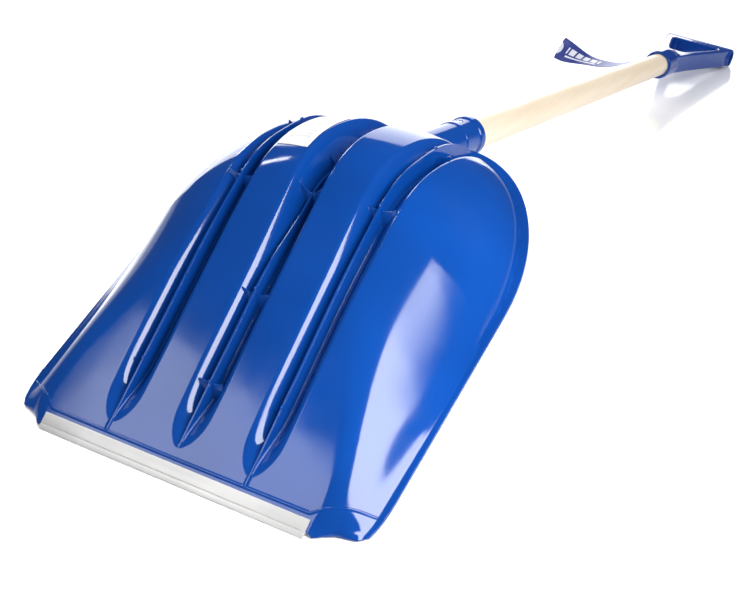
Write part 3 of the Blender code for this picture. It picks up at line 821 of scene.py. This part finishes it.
def plastic(name, base, seed):
    """Glossy moulded plastic: faint clouds in its colour, fine orange peel, scratches in patches."""
    n = Nodes(name)
    spot = n.place()
    cloud = n.noise(spot, 9.0 + seed, 2.0)
    dull = tuple(0.88 * c for c in base)
    bright = tuple(1.08 * c for c in base)
    colour = n.mix(n.span(cloud, 0.3, 0.7), dull, bright)
    scuff_a = n.noise(n.place((14.0, 150.0, 30.0)), 1.6, 3.0, 0.7)
    scuff_b = n.noise(n.place((170.0, 18.0, 40.0)), 1.3, 3.0, 0.7)
    scratch = n.math("MAXIMUM", n.span(scuff_a, 0.72, 0.78), n.span(scuff_b, 0.735, 0.79))
    patch = n.span(n.noise(spot, 14.0, 2.0), 0.5, 0.68)
    scratch = n.math("MULTIPLY", scratch, patch)
    colour = n.mix(n.math("MULTIPLY", scratch, 0.22), colour, (0.25, 0.34, 0.62))
    haze = n.span(n.noise(spot, 22.0, 4.0), 0.35, 0.75, 0.07, 0.13)
    rough = n.math("ADD", haze, n.math("MULTIPLY", scratch, 0.22))
    peel = n.noise(spot, 210.0, 2.0)
    wave = n.noise(spot, 16.0, 1.0)
    relief = n.math("ADD", n.math("MULTIPLY", peel, 0.12), wave)
    relief = n.math("SUBTRACT", relief, n.math("MULTIPLY", scratch, 0.08))
    n.bump(relief, 0.0001, 0.6)
    n.surface(Base_Color=colour, Roughness=rough)
    n.shader.inputs["IOR"].default_value = 1.5
    return n.material


def wood(name):
    """Pale wood with long grain, fine pores and a few small knots."""
    n = Nodes(name)
    long = n.place((1.0, 0.035, 1.0))
    rings = n.add("TexNoise")
    n.put(rings, Vector=long, Scale=95.0, Detail=6.0, Roughness=0.62, Distortion=0.35)
    streak = n.noise(n.place((1.0, 0.012, 1.0)), 420.0, 4.0, 0.6)
    pores = n.noise(n.place((1.0, 0.02, 1.0)), 1500.0, 2.0, 0.7)
    colour = n.mix(n.span(rings.outputs["Fac"], 0.36, 0.68), (0.89, 0.76, 0.59), (0.83, 0.68, 0.50))
    colour = n.mix(n.span(streak, 0.48, 0.75, 0.0, 0.5), colour, (0.90, 0.78, 0.63))
    dark = n.span(pores, 0.62, 0.8, 0.0, 0.16)
    colour = n.mix(dark, colour, (0.55, 0.38, 0.22))
    knot = n.add("TexVoronoi")
    n.put(knot, Vector=n.place((1.0, 0.45, 1.0)), Scale=11.0)
    knot_spot = n.span(knot.outputs["Distance"], 0.03, 0.09, 0.55, 0.0)
    colour = n.mix(knot_spot, colour, (0.33, 0.17, 0.08))
    rough = n.span(rings.outputs["Fac"], 0.3, 0.7, 0.34, 0.5)
    n.bump(n.math("ADD", n.math("MULTIPLY", pores, 0.5), streak), 0.00012, 0.5)
    n.surface(Base_Color=colour, Roughness=rough)
    n.shader.inputs["Coat Weight"].default_value = 0.15
    n.shader.inputs["Coat Roughness"].default_value = 0.25
    return n.material


def metal(name, base, brush, low, high, metallic=1.0):
    """Metal with fine lines; low and high bound its roughness."""
    n = Nodes(name)
    lines = n.noise(n.place(brush), 60.0, 4.0, 0.7)
    blotch = n.noise(n.place(), 18.0, 3.0)
    colour = n.mix(n.span(blotch, 0.3, 0.7), tuple(0.9 * c for c in base), base)
    rough = n.span(lines, 0.3, 0.7, low, high)
    n.bump(lines, 0.00003, 0.6)
    n.surface(Base_Color=colour, Roughness=rough)
    n.shader.inputs["Metallic"].default_value = metallic
    return n.material


def inside(n, value, low, high):
    """1 between low and high, else 0."""
    return n.math("MULTIPLY", n.math("GREATER_THAN", value, low), n.math("LESS_THAN", value, high))


def label_paper(name):
    """White sticker with a patch of plain bars of unequal width."""
    n = Nodes(name)
    split = n.add("SeparateXYZ")
    n.put(split, Vector=n.place())
    across = split.outputs["X"]
    along = n.math("SUBTRACT", split.outputs["Y"], SHIFT_Y + LABEL_Y[0])
    paper = n.mix(n.noise(n.place(), 300.0, 3.0), (0.8, 0.8, 0.79), (0.9, 0.9, 0.89))
    bars = n.noise(n.place((0.0, 1.0, 0.0)), 900.0, 0.0)
    bars = n.math("GREATER_THAN", bars, 0.5)
    patch = n.math("MULTIPLY", inside(n, along, 0.008, 0.030), inside(n, across, -0.052, -0.027))
    line = n.math("MULTIPLY", inside(n, along, 0.036, 0.0385), inside(n, across, -0.050, -0.036))
    ink = n.math("MAXIMUM", n.math("MULTIPLY", bars, patch), n.math("MULTIPLY", line, 0.6))
    colour = n.mix(n.math("MULTIPLY", ink, 0.8), paper, (0.09, 0.09, 0.1))
    n.bump(n.noise(n.place(), 900.0, 2.0), 0.00003, 0.5)
    n.surface(Base_Color=colour, Roughness=n.span(n.noise(n.place(), 60.0), 0.3, 0.7, 0.35, 0.5))
    return n.material


def tag_paper(name):
    """Dark blue printed paper with plain white blocks, a rule and an arc cut by its free end."""
    n = Nodes(name)
    split = n.add("SeparateXYZ")
    n.put(split, Vector=n.place(uv=True))
    along = split.outputs["X"]
    across = split.outputs["Y"]
    base = n.mix(n.noise(n.place(), 260.0, 3.0), (0.025, 0.04, 0.24), (0.035, 0.055, 0.29))
    back = n.math("SUBTRACT", TAG_PRINT_START, along)
    radius = n.math("SQRT", n.math("ADD", n.math("POWER", n.math("SUBTRACT", back, 0.022), 2.0),
                                   n.math("POWER", across, 2.0)))
    disc = inside(n, radius, 0.0065, 0.0125)
    wide = n.math("MULTIPLY", inside(n, back, 0.042, 0.098), inside(n, across, -0.003, 0.009))
    gaps = n.math("GREATER_THAN", n.math("FRACT", n.math("MULTIPLY", along, 84.0)), 0.24)
    wide = n.math("MULTIPLY", wide, gaps)
    thin = n.math("MULTIPLY", inside(n, back, 0.044, 0.094), inside(n, across, -0.0095, -0.0062))
    ink = n.math("MAXIMUM", disc, n.math("MAXIMUM", wide, thin))
    colour = n.mix(n.math("MULTIPLY", ink, 0.9), base, (0.82, 0.83, 0.88))
    n.bump(n.noise(n.place(), 700.0, 2.0), 0.00004, 0.5)
    n.surface(Base_Color=colour, Roughness=n.span(n.noise(n.place(), 40.0), 0.3, 0.7, 0.32, 0.46))
    return n.material


def dress(piece, material, slot_name, *nodes):
    """Gives a piece its material, its body and the CAD nodes that it replaces; slot_name is not used."""
    piece.data.materials.clear()
    piece.data.materials.append(material)
    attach(piece, "root")
    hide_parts(*nodes)


# ---------------------------------------------------------------- object

BLUE = (0.0032, 0.055, 0.295)
scoop_plastic = plastic("scoop_gloss", BLUE, 0.0)
grip_plastic = plastic("grip_gloss", (0.006, 0.050, 0.29), 3.0)
steel = metal("zinc_steel", (0.55, 0.56, 0.58), (1.0, 1.0, 1.0), 0.28, 0.42)
dress(build_scoop(), scoop_plastic, "blade_plastic", "blade")
dress(build_webs(), scoop_plastic, "blade_plastic", "blade")
dress(build_socket(), scoop_plastic, "blade_plastic", "blade")
dress(build_strip(), metal("satin_aluminium", (0.84, 0.83, 0.82), (0.02, 1.0, 1.0), 0.34, 0.48, 0.5),
      "strip_aluminium", "wear_strip")
dress(build_shaft(), wood("pale_wood"), "shaft_wood", "shaft")
dress(build_grip(), grip_plastic, "grip_plastic", "grip")
up = Matrix.Rotation(math.radians(90.0), 4, "X")
down = Matrix.Rotation(math.radians(-90.0), 4, "X")
dress(build_screw("socket_fixing", shaft_matrix(SOCKET_SCREW_Y) @ up, SOCKET_RADIUS), steel,
      "screw_steel", "socket_screw")
dress(build_screw("grip_fixing", shaft_matrix(GRIP_START_Y + GRIP_SCREW_BACK, GRIP_TWIST) @ down,
                  GRIP_COLLAR_RADIUS), steel, "screw_steel", "grip_screw")
dress(build_label(), label_paper("sticker_paper"), "label_paper", "barcode_label")
dress(build_tag(), tag_paper("tag_print"), "tag_paper", "warranty_tag")


# ---------------------------------------------------------------- studio

def floor_material():
    """Pale, slightly glossy studio floor."""
    n = Nodes("studio_floor")
    colour = n.mix(n.noise(n.place(), 1.5, 2.0), (0.93, 0.935, 0.945), (0.95, 0.95, 0.955))
    n.surface(Base_Color=colour, Roughness=n.span(n.noise(n.place(), 3.0), 0.3, 0.7, 0.1, 0.16))
    return n.material


floor_mesh = bmesh.new()
bmesh.ops.create_grid(floor_mesh, x_segments=8, y_segments=8, size=12.0)
floor = link("floor", finish_mesh(floor_mesh, "floor"))
floor.data.materials.append(floor_material())


def toward(azimuth, elevation):
    """Unit vector for an azimuth from +Y toward +X and an elevation, in degrees."""
    turn = math.radians(azimuth)
    rise = math.radians(elevation)
    return Vector((math.sin(turn) * math.cos(rise), math.cos(turn) * math.cos(rise), math.sin(rise)))


def softbox(name, direction, size, distance, radiance, lean=0.0, facing=None):
    """Rectangular light of this radiance, size and distance in metres, seen from LIGHT_CENTRE.

    Directions are (azimuth, elevation) in degrees. lean turns the light in its own plane. facing is the
    direction that its plane is square to, when that isn't its own direction.
    """
    wide, tall = size
    data = bpy.data.lights.new(name, "AREA")
    data.shape = "RECTANGLE"
    data.size = wide
    data.size_y = tall
    data.energy = math.pi * wide * tall * radiance
    lamp = bpy.data.objects.new(name, data)
    lamp.location = LIGHT_CENTRE + toward(*direction) * distance
    lamp.rotation_mode = "QUATERNION"
    level = (-toward(*(facing or direction))).to_track_quat("-Z", "Y")
    lamp.rotation_quaternion = level @ Matrix.Rotation(math.radians(lean), 3, "Z").to_quaternion()
    lamp.visible_camera = False
    bpy.context.scene.collection.objects.link(lamp)
    return lamp


def build_world():
    """White to the camera, a dim room to mirrors, and a brighter one to matt surfaces."""
    world = bpy.data.worlds.new("studio")
    bpy.context.scene.world = world
    world.use_nodes = True
    tree = world.node_tree
    background = tree.nodes["Background"]
    background.inputs["Color"].default_value = (0.97, 0.98, 1.0, 1.0)
    ray = tree.nodes.new("ShaderNodeLightPath")
    matt = tree.nodes.new("ShaderNodeMath")
    seen = tree.nodes.new("ShaderNodeMath")
    for node, kind, share in ((matt, "Is Diffuse Ray", 0.55), (seen, "Is Camera Ray", 1.0)):
        node.operation = "MULTIPLY_ADD"
        node.inputs[1].default_value = share
        tree.links.new(ray.outputs[kind], node.inputs[0])
    seen.inputs[2].default_value = 0.06
    tree.links.new(seen.outputs["Value"], matt.inputs[2])
    tree.links.new(matt.outputs["Value"], background.inputs["Strength"])


def build_camera():
    data = bpy.data.cameras.new("camera")
    data.sensor_width = CAMERA_SENSOR
    data.lens = CAMERA_LENS
    data.clip_end = 60.0
    camera = bpy.data.objects.new("camera", data)
    level = math.cos(CAMERA_PITCH)
    forward = Vector((math.sin(CAMERA_YAW) * level, math.cos(CAMERA_YAW) * level, -math.sin(CAMERA_PITCH)))
    right = Vector((math.cos(CAMERA_YAW), -math.sin(CAMERA_YAW), 0.0))
    below = forward.cross(right)
    axis_x = right * math.cos(CAMERA_ROLL) + below * math.sin(CAMERA_ROLL)
    axis_down = below * math.cos(CAMERA_ROLL) - right * math.sin(CAMERA_ROLL)
    place = Matrix((axis_x, -axis_down, -forward)).transposed().to_4x4()
    place.translation = CAMERA_PLACE
    camera.matrix_world = place
    bpy.context.scene.collection.objects.link(camera)
    bpy.context.scene.camera = camera


softbox("front_left_box", (-138.5, 38.3), (0.88, 0.65), 2.56, 4.4, lean=17.7)
softbox("right_box", (112.12, 31.64), (0.30, 0.36), 0.676, 14.0, lean=38.6, facing=(118.75, 60.5))
softbox("left_strip", (-85.0, 46.0), (0.20, 0.59), 2.8, 16.0, lean=14.0)
softbox("rear_left_box", (-54.0, 28.0), (0.71, 1.82), 3.4, 6.0)
softbox("rear_box", (-36.0, 13.0), (4.66, 3.64), 5.0, 3.0)
shaft_fill = softbox("shaft_fill", (40.0, 40.0), (0.6, 0.6), 1.3, 4.5)
shaft_fill.visible_glossy = False
build_world()
build_camera()
bpy.context.scene.view_settings.view_transform = "Standard"
